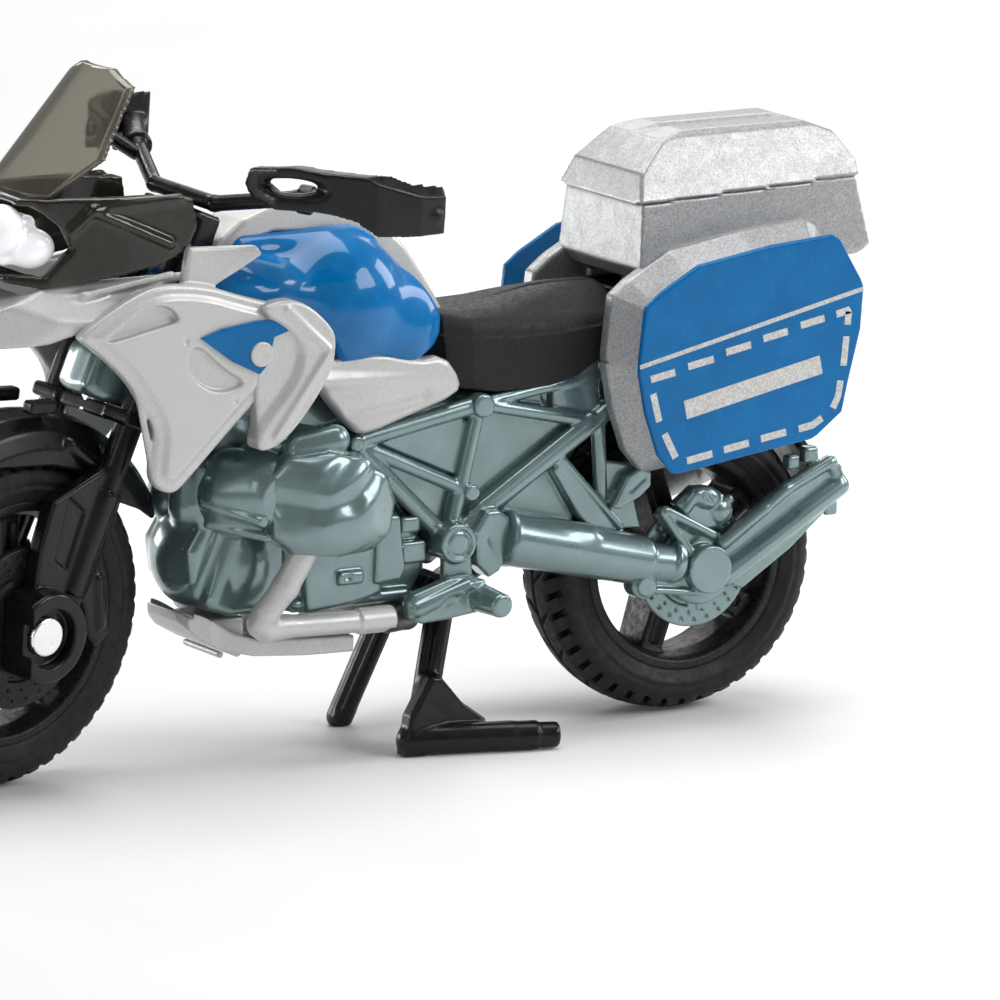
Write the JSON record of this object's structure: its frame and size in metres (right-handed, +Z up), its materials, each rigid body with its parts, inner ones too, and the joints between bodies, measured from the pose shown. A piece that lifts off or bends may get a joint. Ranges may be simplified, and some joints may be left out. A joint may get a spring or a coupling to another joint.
{
  "type": "toy adventure motorcycle",
  "caption": "Small free-rolling toy adventure motorcycle with luggage cases, turning handlebars and fork, rolling wheels and a folding centre stand",
  "frame": {"origin": "On the ground, at the middle of the bounding box in the rest pose (fork turned to the left)", "axes": "+X points to the rear of the motorcycle, -Y is the rider's left, +Z is up"},
  "size_m": [0.0762, 0.0299, 0.048],
  "materials": {
    "teal_casting": "glossy dark teal-grey paint over a smooth casting",
    "silver_paint": "satin silver paint",
    "case_flake": "glossy dark silver paint with visible flake",
    "blue_panel": "glossy blue enamel",
    "black_plastic": "glossy moulded black plastic",
    "seat_black": "fine-grained matt black plastic",
    "smoke_plastic": "glossy smoked brown-grey plastic",
    "screen_clear": "clear smoked plastic sheet",
    "lamp_white": "glossy milky white lens",
    "lamp_red": "glossy red lens",
    "nickel": "bright nickel-plated pins",
    "dark_metal": "dark bronze-grey exhaust paint",
    "tyre_rubber": "soft matt black tyre",
    "rim_black": "black paint with fine metallic grain"
  },
  "bodies": {
    "chassis": {"frame_spine": "teal_casting", "trellis_left": "teal_casting", "trellis_right": "teal_casting", "crankcase": "teal_casting", "gearbox": "teal_casting", "cylinder_left": "teal_casting", "cylinder_right": "teal_casting", "head_cover_left": "teal_casting", "head_cover_right": "teal_casting", "swing_arm": "teal_casting", "final_drive": "teal_casting", "rear_caliper": "teal_casting", "rear_disc": "teal_casting", "splash_guard": "teal_casting", "tail_fender": "black_plastic", "tail_lamp": "lamp_red", "footpeg_left": "teal_casting", "footpeg_right": "teal_casting", "peg_bracket_left": "teal_casting", "peg_bracket_right": "teal_casting", "tank": "blue_panel", "tank_cover": "silver_paint", "side_trim_left": "silver_paint", "side_trim_right": "silver_paint", "beak": "silver_paint", "fairing_left": "silver_paint", "fairing_right": "silver_paint", "wing_left": "silver_paint", "wing_right": "silver_paint", "badge_left": "blue_panel", "badge_right": "blue_panel", "headlight": "lamp_white", "lamp_surround": "smoke_plastic", "windscreen": "screen_clear", "seat": "seat_black", "luggage_rack": "black_plastic", "top_case": "case_flake", "side_case_left": "case_flake", "side_case_right": "case_flake", "case_panel_left": "blue_panel", "case_panel_right": "blue_panel", "skid_plate": "silver_paint", "header_pipes": "silver_paint", "silencer": "dark_metal", "rear_axle": "nickel", "stand_pin": "nickel"},
    "steering": {"fork_left": "black_plastic", "fork_right": "black_plastic", "fork_yokes": "black_plastic", "steering_pin": "nickel", "handlebar": "black_plastic", "handguards": "black_plastic", "front_fender": "black_plastic", "front_axle": "nickel"},
    "front_wheel": {"front_rim": "rim_black", "front_tyre": "tyre_rubber"},
    "rear_wheel": {"rear_rim": "rim_black", "rear_tyre": "tyre_rubber"},
    "stand": {"centre_stand": "black_plastic"}
  },
  "joints": [
    {"name": "steer", "type": "hinge", "parent": "chassis", "child": "steering", "pos_m": [-0.019, -0.0023, 0.025], "axis": [0.3907, 0, 0.9205], "range_deg": [-34.8, 5.2]},
    {"name": "front_roll", "type": "hinge", "parent": "steering", "child": "front_wheel", "pos_m": [-0.02674, -0.0028, 0.01158], "axis": [-0.2351, 0.9668, 0.0998], "continuous": true},
    {"name": "rear_roll", "type": "hinge", "parent": "chassis", "child": "rear_wheel", "pos_m": [0.0252, -0.0023, 0.01055], "axis": [0, 1, 0], "continuous": true},
    {"name": "stand_fold", "type": "hinge", "parent": "chassis", "child": "stand", "pos_m": [0.006, -0.0023, 0.0104], "axis": [0, -1, 0], "range_deg": [0, 70]}
  ]
}
